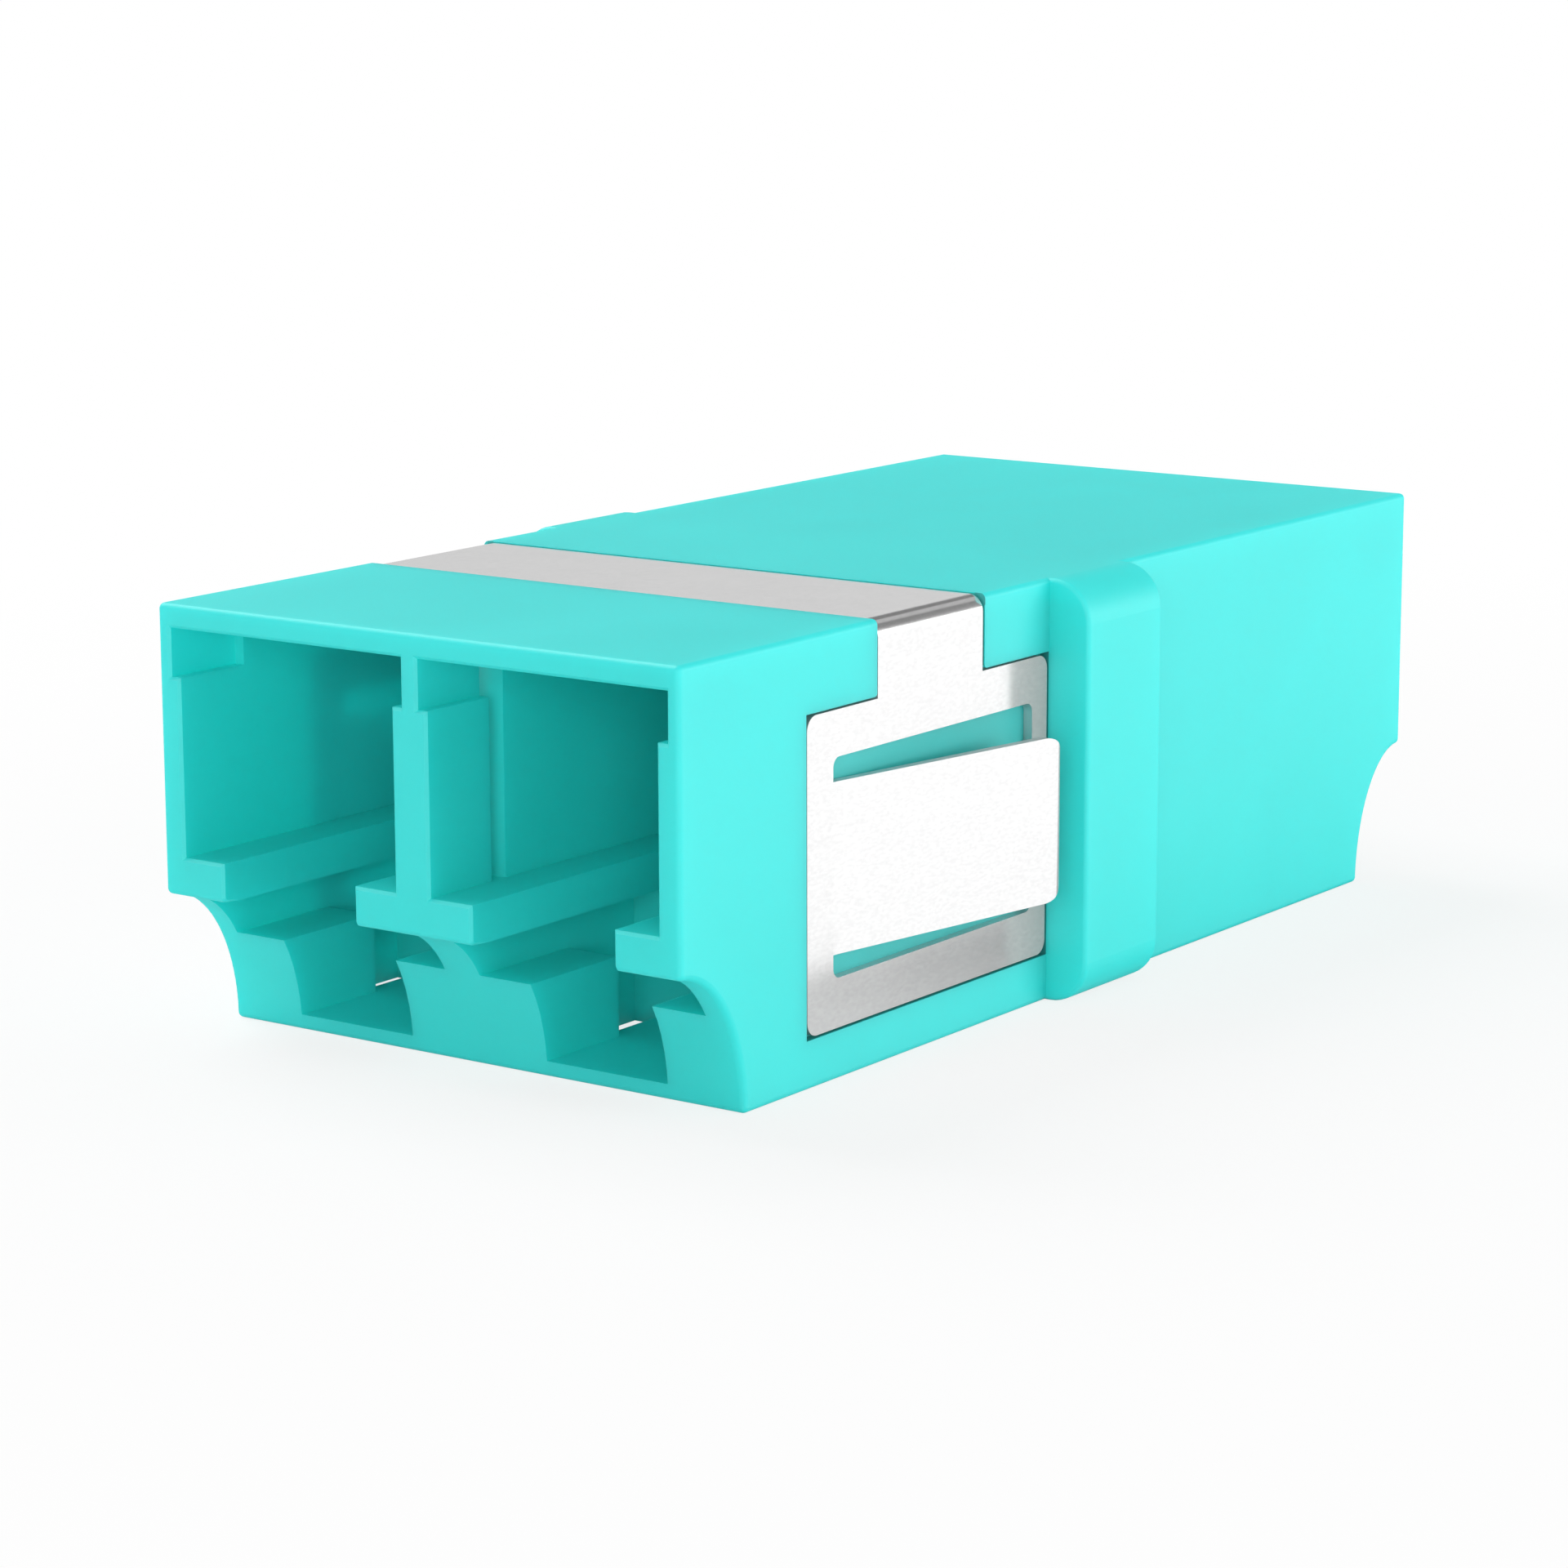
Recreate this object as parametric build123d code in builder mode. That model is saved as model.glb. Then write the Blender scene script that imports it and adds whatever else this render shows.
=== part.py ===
"""Duplex fibre adapter for two pairs of small ferrule connectors.

The ports face -Y (front) and +Y (rear), X runs across the two channels and Z points up.
The origin lies on the underside, at the middle of the length and width. All sizes are in millimetres.
"""
import os
from math import cos, radians, sin

from build123d import *

os.makedirs("parts", exist_ok=True)

# Body
body_length = 27.8
edge_round = 0.12
finger_notch_depth = 1.94
finger_notch_height = 2.93

# Panel stop ribs at mid length
rib_reach = 0.945
rib_thickness = 2.86
rib_corner = 0.88
rib_edge_round = 0.1

# Ports, measured on the end faces
channel_pitch = 6.25
divider = 0.86
side_wall = 0.53
top_wall = 0.474
port_height = 4.569
rail_top = 3.707
rail_bottom = 2.921
rail_gap = 3.36
corner_slot_step = 0.23
corner_slot_height = 0.976
corner_slot_depth = 1.87
divider_gap = 0.42
rim_chamfer = 0.06

# Latch channel under the rails
shoulder_top = 1.93
shoulder_gap = 2.9
shoulder_length = 4.2
latch_pocket_length = 2.14
latch_window_inset = 0.3
latch_run_stop = 1.8
floor_thickness = 0.32

# Web across the middle, with the seats of the sleeve holders
web_thickness = 1.6
fit_clearance = 0.03

# Split sleeves
ferrule_bore = 1.26
sleeve_wall = 0.18
sleeve_length = 6.8
sleeve_slit = 0.35
sleeve_end_chamfer = 0.06

# Sleeve holders, two equal halves to a channel
sleeve_play = 0.07
sleeve_end_play = 0.05
tube_wall = 0.57
tube_tip_chamfer = 0.2
lead_in_length = 0.7
lead_in_play = 0.05
lead_in_flare = 0.32
spigot_step = 0.15
flange_play = 0.09
flange_thickness = 0.7
flange_corner = 0.2
leg_width = 0.5
leg_height = 0.8
leg_inset_across = 1.98
leg_inset_up = 1.5
leg_flex_room = 0.22
hook_reach = 0.18
hook_length = 0.5
hook_taper = 0.12

# Panel clip
clip_sheet = 0.2
clip_sunk = 0.02
clip_gap = 0.05
clip_bend = 0.13
clip_corner = 0.3
clip_seat_length = 8.52
clip_seat_bottom = 0.97
clip_seat_drop = 1.49
clip_seat_corner = 0.08
band_inset = 2.35
band_length = 3.77
frame_front = 0.91
frame_rear = 0.6
frame_below = 1.5
frame_above = 1.43
panel_slot = 0.99
tongue_angle = 9.6
tongue_root_bend = 1.0
tongue_lip_bend = 0.42
tongue_lip_turn = 62
tongue_corner = 0.65
tongue_slit = 0.47
slit_end_round = 0.2

# Worked out from the sizes above
port_width = channel_pitch - divider
port_top = rail_top + port_height
body_width = channel_pitch + port_width + 2 * side_wall
body_height = port_top + top_wall
corner_slot_floor = port_top - corner_slot_height
half_width = body_width / 2
half_length = body_length / 2
rib_face = rib_thickness / 2
web_face = web_thickness / 2
bore_height = rail_top + port_height / 2
clip_seat_depth = clip_sheet + clip_sunk
clip_seat_front = -rib_face - clip_seat_length
clip_seat_top = body_height - clip_seat_drop
band_seat_front = clip_seat_front + band_inset
tongue_root = clip_seat_front + frame_front
tongue_tip = -rib_face - panel_slot
tongue_bottom = clip_seat_bottom + frame_below
tongue_top = clip_seat_top - frame_above
sleeve_diameter = ferrule_bore + 2 * sleeve_wall
sleeve_room = sleeve_diameter + 2 * sleeve_play
tube_diameter = sleeve_room + 2 * tube_wall
lead_in_throat = ferrule_bore + 2 * lead_in_play
lead_in_mouth = lead_in_throat + 2 * lead_in_flare
spigot_diameter = tube_diameter + 2 * spigot_step
flange_width = port_width - 2 * flange_play
flange_height = port_height - 2 * flange_play
sleeve_stop = sleeve_length / 2 + sleeve_end_play
tube_end = sleeve_stop + lead_in_length
channels = (-channel_pitch / 2, channel_pitch / 2)
leg_inner = leg_inset_across - leg_width / 2
leg_outer = leg_inset_across + leg_width / 2
hook_catch = web_face + fit_clearance
relief_inner = leg_inner - 2 * fit_clearance
relief_lower = leg_inset_up - leg_height / 2 - 2 * fit_clearance
web_window_width = leg_width + leg_flex_room + fit_clearance
web_window_across = leg_outer + fit_clearance - web_window_width / 2


def across(y):
    """Plane square to the ports at a given depth, with its own axes along X and Z."""
    return Plane(origin=(0, y, 0), x_dir=(1, 0, 0), z_dir=(0, -1, 0))


# Space of one port, as the moulding core that leaves it
with BuildPart() as port_core:
    with BuildSketch(across(-half_length)):
        with BuildLine():
            Polyline(
                (0, floor_thickness),
                (shoulder_gap / 2, floor_thickness),
                (shoulder_gap / 2, shoulder_top),
                (port_width / 2, shoulder_top),
                (port_width / 2, rail_bottom),
                (rail_gap / 2, rail_bottom),
                (rail_gap / 2, rail_top),
                (port_width / 2, rail_top),
                (port_width / 2, corner_slot_floor),
                (port_width / 2 + corner_slot_step, corner_slot_floor),
                (port_width / 2 + corner_slot_step, port_top),
                (0, port_top),
            )
            mirror(about=Plane.YZ)
        make_face()
    extrude(amount=-corner_slot_depth)
    with BuildSketch(across(-half_length)):
        with Locations((0, (floor_thickness + shoulder_top) / 2)):
            Rectangle(shoulder_gap, shoulder_top - floor_thickness)
        with Locations((0, (shoulder_top + rail_bottom) / 2)):
            Rectangle(port_width, rail_bottom - shoulder_top)
        with Locations((0, (rail_bottom + rail_top) / 2)):
            Rectangle(rail_gap, rail_top - rail_bottom)
    extrude(amount=-shoulder_length)
    with BuildSketch(across(-half_length)):
        with Locations((0, bore_height)):
            Rectangle(port_width, port_height)
    extrude(amount=-(half_length - web_face))
    with BuildSketch(across(-half_length)):
        with Locations((0, (shoulder_top + rail_top) / 2)):
            Rectangle(rail_gap, rail_top - shoulder_top)
    extrude(amount=-(half_length - latch_run_stop))
    with BuildSketch(across(-half_length + shoulder_length)):
        with Locations((0, (floor_thickness + rail_bottom) / 2)):
            Rectangle(port_width, rail_bottom - floor_thickness)
    extrude(amount=-latch_pocket_length)
    window_width = (port_width - shoulder_gap) / 2 - latch_window_inset
    window_middle = (port_width - window_width) / 2
    with BuildSketch(across(-half_length + shoulder_length)):
        with Locations((-window_middle, floor_thickness / 2), (window_middle, floor_thickness / 2)):
            Rectangle(window_width, floor_thickness)
    extrude(amount=-latch_pocket_length)

# Panel stop ribs, as one slab that the body swallows between its sides
with BuildPart() as ribs:
    with BuildSketch(Plane.XZ):
        with Locations((0, body_height / 2)):
            RectangleRounded(body_width + 2 * rib_reach, body_height, rib_corner)
    extrude(amount=rib_face, both=True)
    fillet(ribs.faces().filter_by(Axis.Y).edges(), rib_edge_round)

# Seat of the clip: a shallow recess in each side and a channel over the top that joins them
with BuildPart() as clip_seat:
    seat_middle = (clip_seat_front - rib_face) / 2
    with BuildSketch(Plane.XY.offset(clip_seat_bottom)):
        with Locations((-half_width, seat_middle), (half_width, seat_middle)):
            Rectangle(2 * clip_seat_depth, clip_seat_length)
    extrude(amount=clip_seat_top - clip_seat_bottom)
    with BuildSketch(across(band_seat_front)):
        with Locations((0, clip_seat_top)):
            Rectangle(body_width + 2 * clip_seat_depth, 2 * body_height, align=(Align.CENTER, Align.MIN))
        with Locations((0, body_height - clip_seat_depth)):
            RectangleRounded(
                body_width - 2 * clip_seat_depth,
                body_height,
                clip_bend,
                align=(Align.CENTER, Align.MAX),
                mode=Mode.SUBTRACT,
            )
    extrude(amount=-band_length)
    at_seat_top = clip_seat.edges().filter_by(Axis.X).filter_by_position(
        Axis.Z, clip_seat_top - clip_gap, clip_seat_top + clip_gap
    )
    band_corners = at_seat_top.filter_by_position(
        Axis.Y, band_seat_front - clip_gap, band_seat_front + band_length + clip_gap
    )
    fillet(band_corners, clip_seat_corner)

# Body: block with finger notches, ribs, the clip's seat, four ports and the web's seats
with BuildPart() as body:
    with BuildSketch():
        Rectangle(body_width, body_length)
    extrude(amount=body_height)
    with BuildSketch(Plane.YZ):
        with Locations((-half_length, 0), (half_length, 0)):
            Ellipse(finger_notch_depth, finger_notch_height)
    extrude(amount=body_width, both=True, mode=Mode.SUBTRACT)
    fillet(body.edges(), edge_round)
    add(ribs.part)
    add(clip_seat.part, mode=Mode.SUBTRACT)
    for turn in (0, 180):
        with Locations(*[Location((x, 0, 0), (0, 0, turn)) for x in channels]):
            add(port_core.part, mode=Mode.SUBTRACT)
    divider_slot = half_length - corner_slot_depth - divider_gap / 2
    with BuildSketch(Plane.XY.offset(rail_top)):
        with Locations((0, -divider_slot), (0, divider_slot)):
            Rectangle(divider, divider_gap)
    extrude(amount=port_height, mode=Mode.SUBTRACT)
    for end in (0, -1):
        rim = body.faces().sort_by(Axis.Y)[end].edges().filter_by(GeomType.LINE)
        rim = rim.filter_by_position(Axis.X, side_wall / 2 - half_width, half_width - side_wall / 2)
        rim = rim.filter_by_position(Axis.Z, 0, body_height - top_wall / 2)
        chamfer(rim, rim_chamfer)
    with BuildSketch(across(-web_face)):
        with Locations(*[(x, bore_height) for x in channels]):
            Circle(spigot_diameter / 2 + fit_clearance)
            with GridLocations(2 * web_window_across, 2 * leg_inset_up, 2, 2):
                Rectangle(web_window_width, leg_height + 2 * fit_clearance)
    extrude(amount=-web_thickness, mode=Mode.SUBTRACT)
body.part.label = "body"
export_step(body.part, "parts/body.step")

# Panel clip: its right half is cut and folded, and the left half mirrors it
with BuildPart() as panel_clip:
    sheet_face = half_width - clip_sunk
    with BuildSketch(across(band_seat_front + clip_gap)):
        with Locations((0, body_height - clip_sunk)):
            RectangleRounded(
                2 * sheet_face,
                body_height,
                clip_bend + clip_sheet,
                align=(Align.CENTER, Align.MAX),
            )
        with Locations((0, body_height - clip_seat_depth)):
            RectangleRounded(
                body_width - 2 * clip_seat_depth,
                body_height,
                clip_bend,
                align=(Align.CENTER, Align.MAX),
                mode=Mode.SUBTRACT,
            )
        with Locations((0, clip_seat_top - clip_gap - clip_corner)):
            Rectangle(body_width, body_height, align=(Align.CENTER, Align.MAX), mode=Mode.SUBTRACT)
        with Locations((0, 0)):
            Rectangle(body_width, 2 * body_height, align=(Align.MAX, Align.CENTER), mode=Mode.SUBTRACT)
    extrude(amount=-(band_length - 2 * clip_gap))
    plate_front = clip_seat_front + clip_gap
    plate_rear = -rib_face - clip_gap
    window_rear = -rib_face - frame_rear
    plate_bottom = clip_seat_bottom + clip_gap
    plate_top = clip_seat_top - clip_gap
    with BuildSketch(Plane.YZ.offset(sheet_face - clip_sheet)):
        with Locations(((plate_front + plate_rear) / 2, (plate_bottom + plate_top) / 2)):
            RectangleRounded(plate_rear - plate_front, plate_top - plate_bottom, clip_corner)
        with Locations(((tongue_root + window_rear) / 2, (tongue_bottom + tongue_top) / 2)):
            RectangleRounded(
                window_rear - tongue_root,
                tongue_top - tongue_bottom + 2 * tongue_slit,
                slit_end_round,
                mode=Mode.SUBTRACT,
            )
    extrude(amount=clip_sheet)
    lip_past_vertical = radians(tongue_lip_turn - tongue_angle)
    lean = radians(tongue_angle)
    bend_run = tongue_root_bend * sin(lean)
    lip_run = tongue_lip_bend * (sin(lean) + sin(lip_past_vertical))
    straight_run = (tongue_tip - tongue_root - bend_run - lip_run) / cos(lean)
    with BuildSketch(Plane.XY.offset(tongue_bottom)):
        with BuildLine():
            root = Line((sheet_face, plate_front + clip_corner), (sheet_face, tongue_root))
            bend = JernArc(root @ 1, root % 1, tongue_root_bend, -tongue_angle)
            straight = PolarLine(bend @ 1, straight_run, direction=bend % 1)
            JernArc(straight @ 1, straight % 1, tongue_lip_bend, tongue_lip_turn)
            offset(amount=clip_sheet, side=Side.LEFT)
        make_face()
    extrude(amount=tongue_top - tongue_bottom)
    with BuildSketch(Plane.YZ.offset(half_width)):
        with Locations((tongue_tip, (tongue_bottom + tongue_top) / 2)):
            Rectangle(tongue_corner, tongue_top - tongue_bottom, align=(Align.MAX, Align.CENTER))
            RectangleRounded(
                2 * half_length,
                tongue_top - tongue_bottom,
                tongue_corner,
                align=(Align.MAX, Align.CENTER),
                mode=Mode.SUBTRACT,
            )
    extrude(amount=2 * rib_reach, both=True, mode=Mode.SUBTRACT)
    mirror(about=Plane.YZ)
panel_clip.part.label = "panel_clip"
export_step(panel_clip.part, "parts/panel_clip.step")

# Split sleeve: a thin ceramic tube with one slit, which grips both ferrules
with BuildPart() as sleeve:
    with BuildSketch(Plane.XZ):
        with Locations((0, bore_height)):
            Circle(sleeve_diameter / 2)
            Circle(ferrule_bore / 2, mode=Mode.SUBTRACT)
            Rectangle(sleeve_slit, sleeve_diameter, align=(Align.CENTER, Align.MIN), mode=Mode.SUBTRACT)
    extrude(amount=sleeve_length / 2, both=True)
    chamfer(sleeve.faces().filter_by(Axis.Y).edges().filter_by(GeomType.CIRCLE), sleeve_end_chamfer)
for side, x in zip(("left", "right"), channels):
    with BuildPart() as placed_sleeve:
        with Locations((x, 0, 0)):
            add(sleeve.part)
    placed_sleeve.part.label = f"sleeve_{side}"
    export_step(placed_sleeve.part, f"parts/sleeve_{side}.step")

# Sleeve holder, one half: a turned form of tube, ferrule lead-in and spigot, with a flange and two snap legs
with BuildPart() as holder:
    with BuildSketch(Plane(origin=(0, 0, bore_height), x_dir=(0, 1, 0), z_dir=(1, 0, 0))):
        with BuildLine():
            Polyline(
                (-tube_end, lead_in_mouth / 2),
                (-sleeve_stop, lead_in_throat / 2),
                (-sleeve_stop, sleeve_room / 2),
                (0, sleeve_room / 2),
                (0, spigot_diameter / 2),
                (-web_face, spigot_diameter / 2),
                (-web_face, tube_diameter / 2),
                (-tube_end + tube_tip_chamfer, tube_diameter / 2),
                (-tube_end, tube_diameter / 2 - tube_tip_chamfer),
                close=True,
            )
        make_face()
    revolve(axis=Axis((0, 0, bore_height), (0, 1, 0)))
    with BuildSketch(across(-web_face)):
        with Locations((0, bore_height)):
            RectangleRounded(flange_width, flange_height, flange_corner)
            Circle(sleeve_room / 2, mode=Mode.SUBTRACT)
        for turn in (0, 180):
            with Locations(Location((0, bore_height), turn)):
                with Locations((relief_inner, -relief_lower)):
                    Rectangle(
                        flange_width,
                        flange_height,
                        align=(Align.MIN, Align.MAX),
                        mode=Mode.SUBTRACT,
                    )
    extrude(amount=flange_thickness)
    for turn in (0, 180):
        leg_plane = Plane(origin=(0, 0, bore_height), x_dir=(1, 0, 0), z_dir=(0, 0, 1))
        leg_plane = leg_plane.rotated((0, turn, 0))
        with BuildSketch(leg_plane.offset(leg_inset_up - leg_height / 2)):
            with BuildLine():
                Polyline(
                    (leg_inner, -web_face),
                    (leg_outer, -web_face),
                    (leg_outer, hook_catch),
                    (leg_outer + hook_reach, hook_catch),
                    (leg_outer - hook_taper, hook_catch + hook_length),
                    (leg_inner, hook_catch + hook_length),
                    close=True,
                )
            make_face()
        extrude(amount=leg_height)
for end, turn in (("front", 0), ("rear", 180)):
    for side, x in zip(("left", "right"), channels):
        with BuildPart() as placed_holder:
            with Locations(Location((x, 0, 0), (0, 0, turn))):
                add(holder.part)
        placed_holder.part.label = f"holder_{end}_{side}"
        export_step(placed_holder.part, f"parts/holder_{end}_{side}.step")
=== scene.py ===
"""Duplex fibre adapter: looks, studio and camera around the fixed CAD frame. All lengths are in metres."""
from functools import partial
import math

import bpy
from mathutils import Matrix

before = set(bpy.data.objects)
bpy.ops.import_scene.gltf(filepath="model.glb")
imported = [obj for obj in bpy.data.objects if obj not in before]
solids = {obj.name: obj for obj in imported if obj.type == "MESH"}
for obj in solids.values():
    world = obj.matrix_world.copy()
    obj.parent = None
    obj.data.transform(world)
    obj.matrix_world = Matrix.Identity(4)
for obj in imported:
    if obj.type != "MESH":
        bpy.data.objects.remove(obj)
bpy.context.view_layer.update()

# Body of the adapter
# One injection moulding in aqua plastic, with both channels, the rails, the ribs and the clip's seat.
# The tool's spark-eroded skin leaves a fine, even grain and a soft sheen. The seat under the clip carries
# painted shade.
AQUA = (0.020, 0.785, 0.752)
AQUA_FLOW = (0.016, 0.762, 0.728)
AQUA_ROUGHNESS = 0.58
ROUGHNESS_DRIFT = 0.05
FLOW_MARKS_PER_METRE = 240
FLOW_DETAIL = 3.0
FLOW_SWIRL = 0.8
FLOW_TINT_RANGE = (0.35, 0.65)
SKIN_GRAINS_PER_METRE = 26000
SKIN_DETAIL = 2.0
SKIN_GRAIN_STRENGTH = 0.12
SKIN_GRAIN_DEPTH = 0.000004
PLASTIC_IOR = 1.5
PLASTIC_GLOSS = 0.9
GLOW_THROUGH = 0.5
GLOW_COLOURS = (0.05, 1.0, 0.94)
GLOW_REACH = 0.0012
SEAT_ACROSS = (0.00610, 0.006335)
SEAT_ALONG = (-0.00996, -0.00142)
SEAT_UP = (0.00096, 0.00727)
BAND_ALONG = (-0.00761, -0.00382)
BAND_UP = (0.00852, 0.008735)
NECK_UP = (0.0072, 0.0089)
# Painted shade: the share of their colour that the seat's floor and walls keep in the clip's shadow.
SEAT_FLOOR_PAINTED_SHADE = 0.72
SEAT_WALL_PAINTED_SHADE = 0.35
SIDEWAYS = 0.5


def new_material(name):
    """A material with its own nodes and links."""
    material = bpy.data.materials.new(name)
    material.use_nodes = True
    return material, material.node_tree.nodes, material.node_tree.links


def feed(material, socket, value):
    """Sets a number on the socket, or links another socket to it."""
    if isinstance(value, float):
        socket.default_value = value
    else:
        material.node_tree.links.new(value, socket)


def socket_math(material, operation, first, second=0.0):
    """One step of arithmetic among a material's or a room's nodes, between sockets or numbers."""
    step = material.node_tree.nodes.new("ShaderNodeMath")
    step.operation = operation
    feed(material, step.inputs[0], first)
    feed(material, step.inputs[1], second)
    return step.outputs["Value"]


def run_between(material, value, low, high, start=0.0, end=1.0):
    """Runs evenly from low to high while the value goes from start to end, and stays there beyond."""
    run = material.node_tree.nodes.new("ShaderNodeMapRange")
    feed(material, run.inputs["Value"], value)
    feed(material, run.inputs["To Min"], low)
    feed(material, run.inputs["To Max"], high)
    feed(material, run.inputs["From Min"], start)
    feed(material, run.inputs["From Max"], end)
    return run.outputs["Result"]


def parts_of(material, vector):
    """The parts of a vector across, along and up the adapter."""
    parts = material.node_tree.nodes.new("ShaderNodeSeparateXYZ")
    material.node_tree.links.new(vector, parts.inputs["Vector"])
    return parts.outputs["X"], parts.outputs["Y"], parts.outputs["Z"]


def marks(material, place, per_metre, detail, swirl=0.0):
    """Soft random marks over the piece, so many to the metre, from 0 to 1."""
    noise = material.node_tree.nodes.new("ShaderNodeTexNoise")
    noise.inputs["Scale"].default_value = per_metre
    noise.inputs["Detail"].default_value = detail
    noise.inputs["Distortion"].default_value = swirl
    material.node_tree.links.new(place, noise.inputs["Vector"])
    return noise.outputs["Fac"]


def tint_between(material, value, first_colour, last_colour, start=0.0, end=1.0):
    """Colour that runs from the first to the last while the value goes from start to end."""
    ramp = material.node_tree.nodes.new("ShaderNodeValToRGB")
    ramp.color_ramp.elements[0].position = start
    ramp.color_ramp.elements[0].color = (*first_colour, 1.0)
    ramp.color_ramp.elements[1].position = end
    ramp.color_ramp.elements[1].color = (*last_colour, 1.0)
    material.node_tree.links.new(value, ramp.inputs["Fac"])
    return ramp.outputs["Color"]


def relief(material, height, strength, depth):
    """Slopes of a skin whose height follows the given marks."""
    bump = material.node_tree.nodes.new("ShaderNodeBump")
    bump.inputs["Strength"].default_value = strength
    bump.inputs["Distance"].default_value = depth
    material.node_tree.links.new(height, bump.inputs["Height"])
    return bump.outputs["Normal"]


def moulded_plastic(name, colour, flow_colour, roughness):
    """Plastic whose colour drifts a little with the melt's flow, and whose skin has a fine eroded grain."""
    material, nodes, links = new_material(name)
    shader = nodes["Principled BSDF"]
    place = nodes.new("ShaderNodeTexCoord").outputs["Object"]
    flow = marks(material, place, FLOW_MARKS_PER_METRE, FLOW_DETAIL, FLOW_SWIRL)
    tint = tint_between(material, flow, flow_colour, colour, *FLOW_TINT_RANGE)
    links.new(tint, shader.inputs["Base Color"])
    rub = run_between(material, flow, roughness - ROUGHNESS_DRIFT, roughness + ROUGHNESS_DRIFT)
    links.new(rub, shader.inputs["Roughness"])
    skin = marks(material, place, SKIN_GRAINS_PER_METRE, SKIN_DETAIL)
    grain = relief(material, skin, SKIN_GRAIN_STRENGTH, SKIN_GRAIN_DEPTH)
    links.new(grain, shader.inputs["Normal"])
    shader.inputs["IOR"].default_value = PLASTIC_IOR
    shader.inputs["Specular IOR Level"].default_value = PLASTIC_GLOSS
    shader.inputs["Subsurface Weight"].default_value = GLOW_THROUGH
    shader.inputs["Subsurface Radius"].default_value = GLOW_COLOURS
    shader.inputs["Subsurface Scale"].default_value = GLOW_REACH
    return material


def inside(material, value, low, high):
    """1 where the value lies between the two limits, else 0."""
    above = socket_math(material, "GREATER_THAN", value, low)
    return socket_math(material, "MULTIPLY", above, socket_math(material, "LESS_THAN", value, high))


def painted_seat_shade(material):
    """Share of its colour that the moulding keeps: all of it, but less on the seat's floor and walls, as
    painted shade from the clip.
    """
    nodes = material.node_tree.nodes
    times = partial(socket_math, material, "MULTIPLY")
    either = partial(socket_math, material, "MAXIMUM")
    across, along, up = parts_of(material, nodes.new("ShaderNodeTexCoord").outputs["Object"])
    normal_across = parts_of(material, nodes.new("ShaderNodeNewGeometry").outputs["Normal"])[0]

    under_plate = times(inside(material, along, *SEAT_ALONG), inside(material, up, *SEAT_UP))
    along_band = inside(material, along, *BAND_ALONG)
    under_neck = times(along_band, inside(material, up, *NECK_UP))
    out_to_side = socket_math(material, "ABSOLUTE", across)
    side_seat = times(inside(material, out_to_side, *SEAT_ACROSS), either(under_plate, under_neck))
    seat = either(side_seat, times(along_band, inside(material, up, *BAND_UP)))

    facing_sideways = socket_math(material, "ABSOLUTE", normal_across)
    wall = socket_math(material, "LESS_THAN", facing_sideways, SIDEWAYS)
    wall_extra_painted_shade = times(wall, SEAT_FLOOR_PAINTED_SHADE - SEAT_WALL_PAINTED_SHADE)
    painted_darkening = socket_math(material, "ADD", wall_extra_painted_shade, 1.0 - SEAT_FLOOR_PAINTED_SHADE)
    return socket_math(material, "SUBTRACT", 1.0, times(seat, painted_darkening))


def finish_with(material, *names):
    """Gives these CAD nodes this one material."""
    for name in names:
        solids[name].data.materials.clear()
        solids[name].data.materials.append(material)


body_plastic = moulded_plastic("aqua_moulding", AQUA, AQUA_FLOW, AQUA_ROUGHNESS)
nodes, links = body_plastic.node_tree.nodes, body_plastic.node_tree.links
body_colour = nodes["Principled BSDF"].inputs["Base Color"]
# The body's colour is scaled down on the clip's seat: painted shade under the clip.
colour_under_painted_shade = nodes.new("ShaderNodeVectorMath")
colour_under_painted_shade.operation = "SCALE"
links.new(body_colour.links[0].from_socket, colour_under_painted_shade.inputs[0])
links.new(painted_seat_shade(body_plastic), colour_under_painted_shade.inputs["Scale"])
links.new(colour_under_painted_shade.outputs["Vector"], body_colour)
finish_with(body_plastic, "body")

# Sleeve holders
# Two equal halves to a channel, moulded in the same family of plastic and snapped together through the web.
# They come from another tool, so their tone is a touch deeper and their skin smoother.
HOLDER_AQUA = (0.03, 0.70, 0.662)
HOLDER_FLOW = (0.025, 0.665, 0.628)
HOLDER_ROUGHNESS = 0.52
HOLDERS = [name for name in solids if name.startswith("holder_")]

finish_with(moulded_plastic("holder_moulding", HOLDER_AQUA, HOLDER_FLOW, HOLDER_ROUGHNESS), *HOLDERS)

# Split sleeves
# Tubes of zirconia, an off-white ceramic, ground, polished and slit so that they spring on a ferrule.
# Grinding runs round the tube, so its faint rings lie across the bore.
ZIRCONIA = (0.88, 0.865, 0.82)
ZIRCONIA_RING = (0.84, 0.82, 0.765)
ZIRCONIA_ROUGHNESS = 0.12
ZIRCONIA_IOR = 2.1
ZIRCONIA_GLOSS = 0.5
GRIND_RINGS_PER_METRE = 9000
GRIND_WANDER = 1.5

zirconia, nodes, links = new_material("polished_zirconia")
shader = nodes["Principled BSDF"]
rings = nodes.new("ShaderNodeTexWave")
rings.bands_direction = "Y"
rings.inputs["Scale"].default_value = GRIND_RINGS_PER_METRE
rings.inputs["Distortion"].default_value = GRIND_WANDER
links.new(nodes.new("ShaderNodeTexCoord").outputs["Object"], rings.inputs["Vector"])
ring_tint = tint_between(zirconia, rings.outputs["Color"], ZIRCONIA_RING, ZIRCONIA)
links.new(ring_tint, shader.inputs["Base Color"])
shader.inputs["Roughness"].default_value = ZIRCONIA_ROUGHNESS
shader.inputs["IOR"].default_value = ZIRCONIA_IOR
shader.inputs["Specular IOR Level"].default_value = ZIRCONIA_GLOSS
finish_with(zirconia, "sleeve_left", "sleeve_right")

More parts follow.
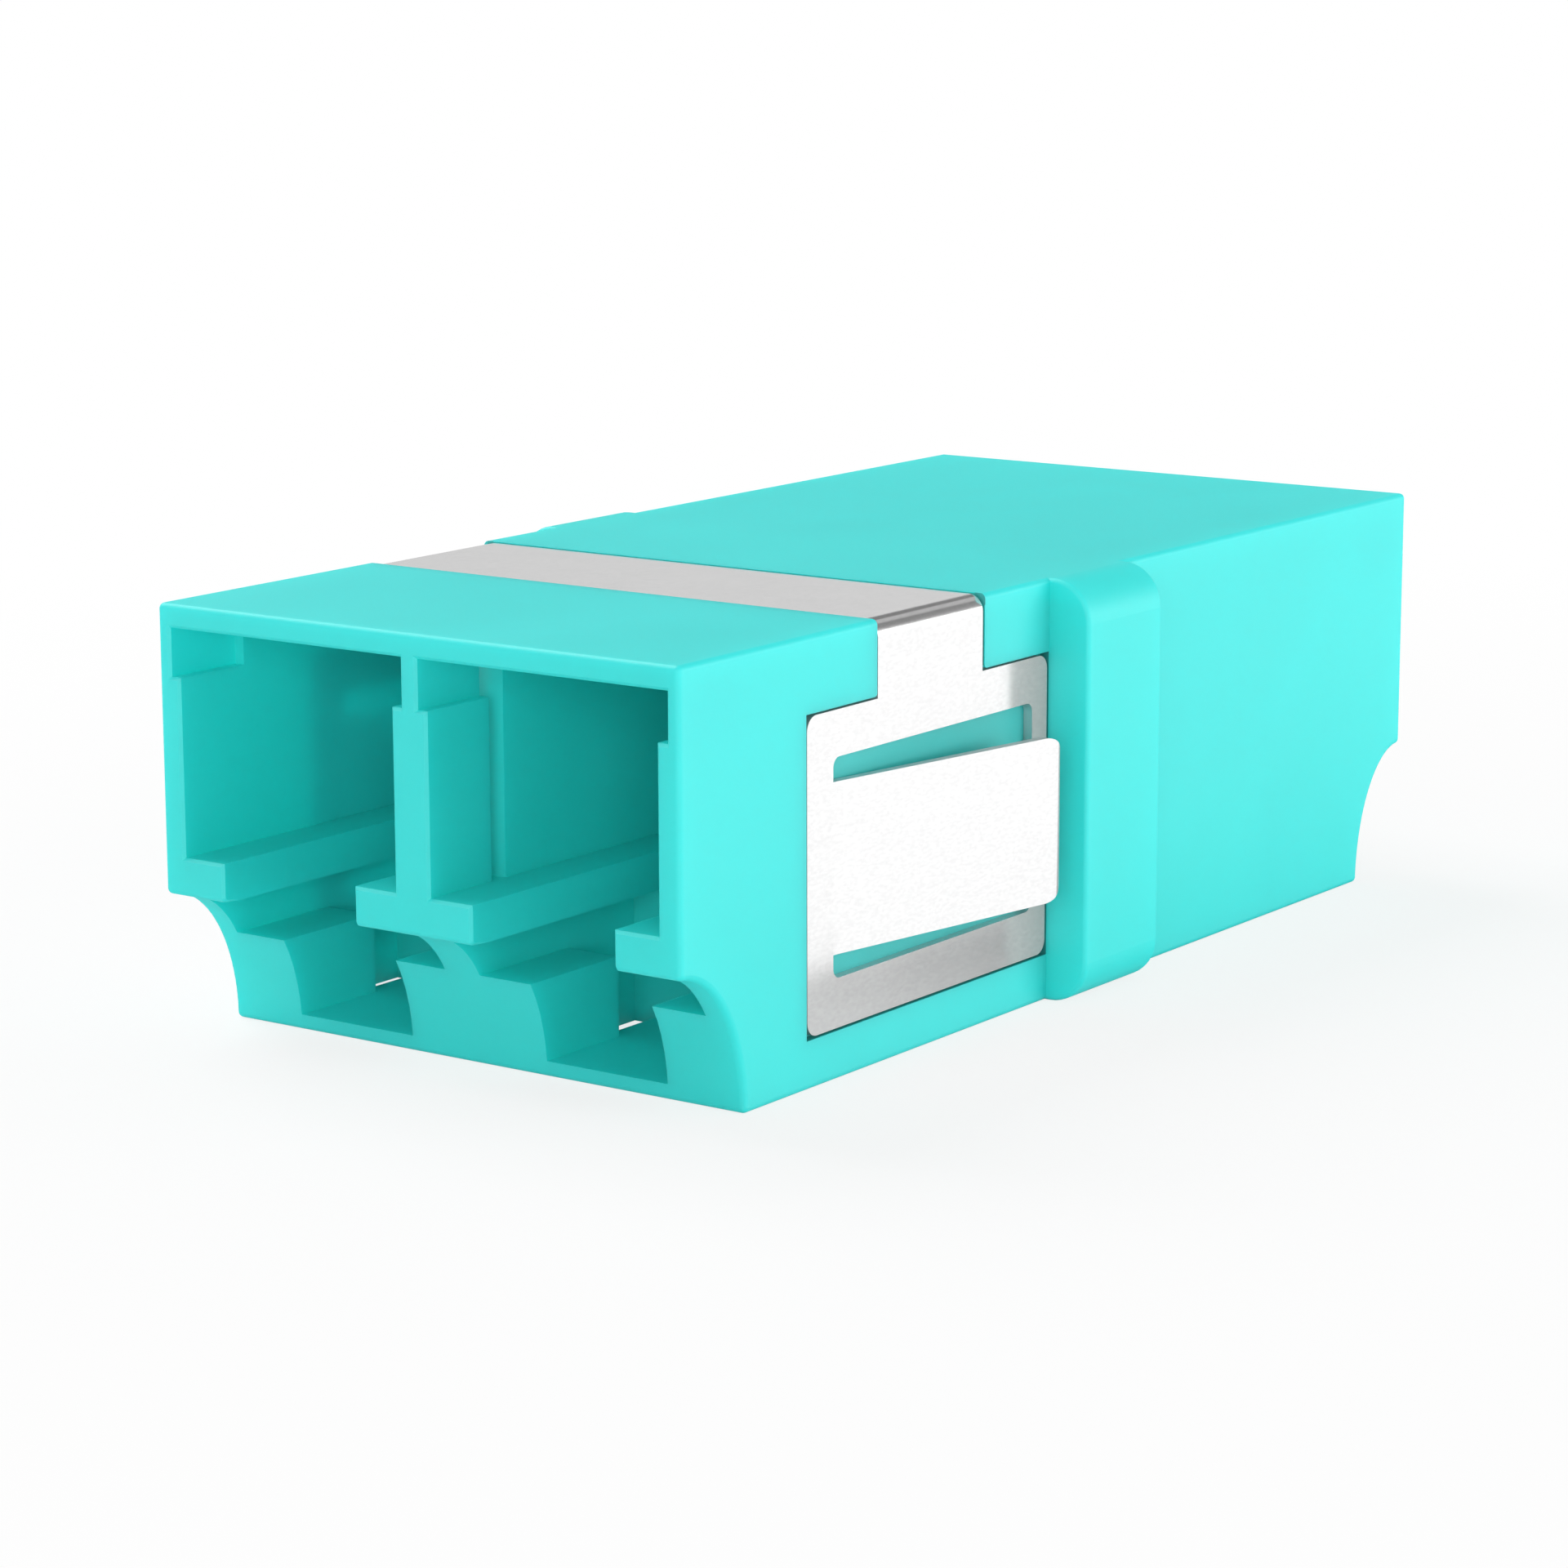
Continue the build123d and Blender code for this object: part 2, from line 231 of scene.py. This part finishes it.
# Panel clip
# One blank of stainless spring strip, punched, then folded over the body with a sprung tongue on each side.
# The strip is bright rolled: nearly a mirror, dulled by short fine lines along the rolling direction.
STEEL = (0.99, 0.985, 0.985)
STEEL_LINE = (0.925, 0.92, 0.922)
STEEL_METALLIC = 0.75
ROLL_LINES_PER_METRE = 18000
ROLL_LINE_STRETCH = 0.4
ROLL_LINE_DETAIL = 3.0
ROLL_LINE_TINT_RANGE = (0.35, 0.65)
ROLL_LINE_STRENGTH = 0.05
ROLL_LINE_DEPTH = 0.000002
HALF_ROLL_LINE = 0.000028
STEEL_CLOUDS_PER_METRE = 900
STEEL_CLOUD_DETAIL = 4.0
BRIGHT_ROUGHNESS = 0.12
DULL_ROUGHNESS = 0.20
SHEARED_EDGE = (0.66, 0.655, 0.66)
SHEARED_ROUGHNESS = 0.4
LENGTHWAYS = 0.9
UPRIGHT = 0.1
BAND_UNDERSIDE = 0.0082

strip, nodes, links = new_material("bright_spring_strip")
shader = nodes["Principled BSDF"]
place = nodes.new("ShaderNodeTexCoord").outputs["Object"]

# Half a line's shift keeps the plates and the band off the planes on which this noise has no contrast.
along_strip = nodes.new("ShaderNodeMapping")
along_strip.inputs["Location"].default_value = (HALF_ROLL_LINE, 0.0, HALF_ROLL_LINE)
along_strip.inputs["Scale"].default_value = (1.0, ROLL_LINE_STRETCH, 1.0)
links.new(place, along_strip.inputs["Vector"])
roll_lines = marks(strip, along_strip.outputs["Vector"], ROLL_LINES_PER_METRE, ROLL_LINE_DETAIL)
clouds = marks(strip, place, STEEL_CLOUDS_PER_METRE, STEEL_CLOUD_DETAIL)
strip_tint = tint_between(strip, roll_lines, STEEL_LINE, STEEL, *ROLL_LINE_TINT_RANGE)

# The sheared edges are grey and dull. They face along the adapter, or up and down below the band.
normal_across, normal_along, _ = parts_of(strip, nodes.new("ShaderNodeNewGeometry").outputs["Normal"])
height = parts_of(strip, place)[2]
faces_along = socket_math(strip, "GREATER_THAN", socket_math(strip, "ABSOLUTE", normal_along), LENGTHWAYS)
faces_upright = socket_math(strip, "LESS_THAN", socket_math(strip, "ABSOLUTE", normal_across), UPRIGHT)
below_band = socket_math(strip, "LESS_THAN", height, BAND_UNDERSIDE)
sheared_below = socket_math(strip, "MULTIPLY", faces_upright, below_band)
sheared = socket_math(strip, "MAXIMUM", faces_along, sheared_below)

edge_tint = nodes.new("ShaderNodeMix")
edge_tint.data_type = "RGBA"
edge_tint.inputs["B"].default_value = (*SHEARED_EDGE, 1.0)
links.new(sheared, edge_tint.inputs["Factor"])
links.new(strip_tint, edge_tint.inputs["A"])
links.new(edge_tint.outputs["Result"], shader.inputs["Base Color"])
dullness = run_between(strip, clouds, BRIGHT_ROUGHNESS, DULL_ROUGHNESS)
edge_dullness = socket_math(strip, "MULTIPLY", sheared, SHEARED_ROUGHNESS)
links.new(socket_math(strip, "MAXIMUM", dullness, edge_dullness), shader.inputs["Roughness"])
line_relief = relief(strip, roll_lines, ROLL_LINE_STRENGTH, ROLL_LINE_DEPTH)
links.new(line_relief, shader.inputs["Normal"])
shader.inputs["Metallic"].default_value = STEEL_METALLIC
finish_with(strip, "panel_clip")

# Studio floor
# A wide sheet of white paper that the adapter stands on, seen plain white but for the soft shadow it keeps.
# Polished steel mirrors it white too, except beside the adapter, where a painted shadow shows grey, darker
# towards the ribs and behind them; only reflections see it.
FLOOR_REACH = 1.5
FLOOR_WHITE = 0.92
SHADE_KEPT = 0.20
SHADE_REACH = (0.018, 0.060)
MIRRORED_BAND_EDGE = (0.0113, 0.0119)
MIRRORED_PAINTED_SHADOW_TONES = (0.47, 0.20)
MIRRORED_ALONG = (-0.0050, 0.0025)

floor_mesh = bpy.data.meshes.new("studio_floor")
floor_corners = [(x * FLOOR_REACH, y * FLOOR_REACH, 0.0) for x, y in ((-1, -1), (1, -1), (1, 1), (-1, 1))]
floor_mesh.from_pydata(floor_corners, [], [(0, 1, 2, 3)])
floor = bpy.data.objects.new("studio_floor", floor_mesh)
bpy.context.scene.collection.objects.link(floor)


def blend(material, share, first, second):
    """Blend of two shaders, with the given share of the second."""
    mixed = material.node_tree.nodes.new("ShaderNodeMixShader")
    for socket, source in zip(mixed.inputs, (share, first, second)):
        material.node_tree.links.new(source, socket)
    return mixed.outputs["Shader"]


paper, nodes, links = new_material("white_paper")
nodes.remove(nodes["Principled BSDF"])
seen = nodes.new("ShaderNodeLightPath")
place = nodes.new("ShaderNodeTexCoord").outputs["Object"]
matt = nodes.new("ShaderNodeBsdfDiffuse")
matt.inputs["Color"].default_value = (FLOOR_WHITE, FLOOR_WHITE, FLOOR_WHITE, 1.0)
glow = nodes.new("ShaderNodeEmission")
glow.inputs["Strength"].default_value = 1.0
away = nodes.new("ShaderNodeVectorMath")
away.operation = "LENGTH"
links.new(place, away.inputs[0])
whiteness = run_between(paper, away.outputs["Value"], 1.0 - SHADE_KEPT, 1.0, *SHADE_REACH)
lift = socket_math(paper, "MULTIPLY", whiteness, seen.outputs["Is Camera Ray"])
to_camera = blend(paper, lift, matt.outputs["BSDF"], glow.outputs["Emission"])
# Painted shadow for reflections only: to glossy rays the floor glows grey beside the adapter, not white.
floor_across, floor_along, _ = parts_of(paper, place)
out_to_side = socket_math(paper, "ABSOLUTE", floor_across)
shade = run_between(paper, floor_along, *MIRRORED_PAINTED_SHADOW_TONES, *MIRRORED_ALONG)
mirrored_glow = nodes.new("ShaderNodeEmission")
mirrored_painted_shadow = run_between(paper, out_to_side, shade, 1.0, *MIRRORED_BAND_EDGE)
links.new(mirrored_painted_shadow, mirrored_glow.inputs["Strength"])
in_steel = blend(paper, seen.outputs["Is Glossy Ray"], to_camera, mirrored_glow.outputs["Emission"])
links.new(in_steel, nodes["Material Output"].inputs["Surface"])
floor_mesh.materials.append(paper)

# Studio light
# A white room with three soft boxes: low at the right, high at the left, and beside the camera.
# Only reflections see its dimmer ceiling and the grey and black cards behind. A grey card on each rib's
# front face is a painted reflection that stands in for the rib in the clip's steel.
ROOM_LIGHT = 0.43
CEILING_TONE = 0.45
CARD_BEHIND = 0.20
RIB_FACE = -0.00144
RIB_INNER, RIB_OUTER = 0.00636, 0.00724
RIB_UP = (0.0004, 0.0083)
RIB_PAINTED_REFLECTION_TONE = 0.334
RIB_PAINTED_REFLECTION_COLOUR = (0.84, 1.0, 0.973)

room = bpy.data.worlds.new("white_room")
room.use_nodes = True
bpy.context.scene.world = room
nodes, links = room.node_tree.nodes, room.node_tree.links


def white_light(background, strength):
    """Makes the room's background node white, at a strength that is a number or a socket."""
    background.inputs["Color"].default_value = (1.0, 1.0, 1.0, 1.0)
    feed(room, background.inputs["Strength"], strength)
    return background.outputs["Background"]


upwards = parts_of(room, nodes.new("ShaderNodeTexCoord").outputs["Generated"])[2]
fill = white_light(nodes["Background"], ROOM_LIGHT)
white = white_light(nodes.new("ShaderNodeBackground"), 1.0)
walls_and_ceiling = white_light(
    nodes.new("ShaderNodeBackground"), run_between(room, upwards, 1.0, CEILING_TONE)
)
seen = nodes.new("ShaderNodeLightPath")
straight = socket_math(room, "MAXIMUM", seen.outputs["Is Camera Ray"], seen.outputs["Is Transmission Ray"])
seen_straight = blend(room, straight, fill, white)
seen_mirrored = blend(room, seen.outputs["Is Glossy Ray"], seen_straight, walls_and_ceiling)
links.new(seen_mirrored, nodes["World Output"].inputs["Surface"])


def soft_box(name, azimuth, elevation, distance, width, height, level):
    """Soft box facing the adapter. Level is the share of its own colour that a face square to it shows."""
    lamp = bpy.data.lights.new(name, "AREA")
    lamp.shape = "RECTANGLE"
    lamp.size = width
    lamp.size_y = height
    lamp.energy = level * math.pi ** 2 * distance ** 2
    box = bpy.data.objects.new(name, lamp)
    across, up = math.radians(azimuth), math.radians(elevation)
    box.location = (
        distance * math.cos(up) * math.sin(across),
        -distance * math.cos(up) * math.cos(across),
        distance * math.sin(up),
    )
    box.rotation_euler = (math.pi / 2 - up, 0.0, across)
    bpy.context.scene.collection.objects.link(box)


soft_box("soft_box_right", azimuth=118, elevation=8, distance=0.30, width=0.26, height=0.08, level=0.45)
soft_box("soft_box_above", azimuth=-95, elevation=50, distance=0.35, width=0.24, height=0.24, level=0.65)
soft_box("soft_box_by_camera", azimuth=32, elevation=12, distance=0.35, width=0.16, height=0.12, level=0.29)


def reflected_card(name, depth, across, up, brightness, colour=(1.0, 1.0, 1.0)):
    """Upright card square to the length, that only shows in what the adapter reflects."""
    (left, right), (low, high) = across, up
    mesh = bpy.data.meshes.new(name)
    corners = [(left, depth, low), (right, depth, low), (right, depth, high), (left, depth, high)]
    mesh.from_pydata(corners, [], [(0, 1, 2, 3)])
    card = bpy.data.objects.new(name, mesh)
    bpy.context.scene.collection.objects.link(card)
    card.visible_camera = False
    card.visible_diffuse = False
    card.visible_shadow = False
    tone, nodes, links = new_material(name)
    nodes.remove(nodes["Principled BSDF"])
    even = nodes.new("ShaderNodeEmission")
    even.inputs["Color"].default_value = (*colour, 1.0)
    even.inputs["Strength"].default_value = brightness
    links.new(even.outputs["Emission"], nodes["Material Output"].inputs["Surface"])
    mesh.materials.append(tone)


reflected_card("grey_card", CARD_BEHIND, across=(-0.60, -0.05), up=(0.0, 0.09), brightness=0.60)
reflected_card("black_card_left", CARD_BEHIND, across=(-0.60, -0.03), up=(0.09, 0.45), brightness=0.01)
reflected_card("grey_gap_card", CARD_BEHIND, across=(-0.03, 0.05), up=(0.09, 0.24), brightness=0.30)
reflected_card("black_card_right", CARD_BEHIND, across=(0.05, 0.14), up=(0.05, 0.45), brightness=0.01)
# Painted reflection: a grey card on each rib's front face, so the clip's steel mirrors grey there, not the
# aqua rib.
reflected_card("painted_rib_reflection_right", RIB_FACE, (RIB_INNER, RIB_OUTER), RIB_UP, RIB_PAINTED_REFLECTION_TONE, RIB_PAINTED_REFLECTION_COLOUR)
reflected_card("painted_rib_reflection_left", RIB_FACE, (-RIB_OUTER, -RIB_INNER), RIB_UP, RIB_PAINTED_REFLECTION_TONE, RIB_PAINTED_REFLECTION_COLOUR)

# Camera
# A long lens low at the front right corner, from where the picture of the adapter was taken.
CAMERA_PLACE = (0.052890, -0.076056, 0.022431)
CAMERA_TURN_DEGREES = (78.4796, 0.1331, 35.4165)
LENS_MM = 101.324
SENSOR_MM = 36.0
NEAREST_SEEN = 0.005
FARTHEST_SEEN = 10.0

lens = bpy.data.cameras.new("camera")
lens.lens = LENS_MM
lens.sensor_width = SENSOR_MM
lens.clip_start = NEAREST_SEEN
lens.clip_end = FARTHEST_SEEN
camera = bpy.data.objects.new("camera", lens)
camera.location = CAMERA_PLACE
camera.rotation_euler = [math.radians(angle) for angle in CAMERA_TURN_DEGREES]
bpy.context.scene.collection.objects.link(camera)
bpy.context.scene.camera = camera
bpy.context.scene.view_settings.view_transform = "Standard"
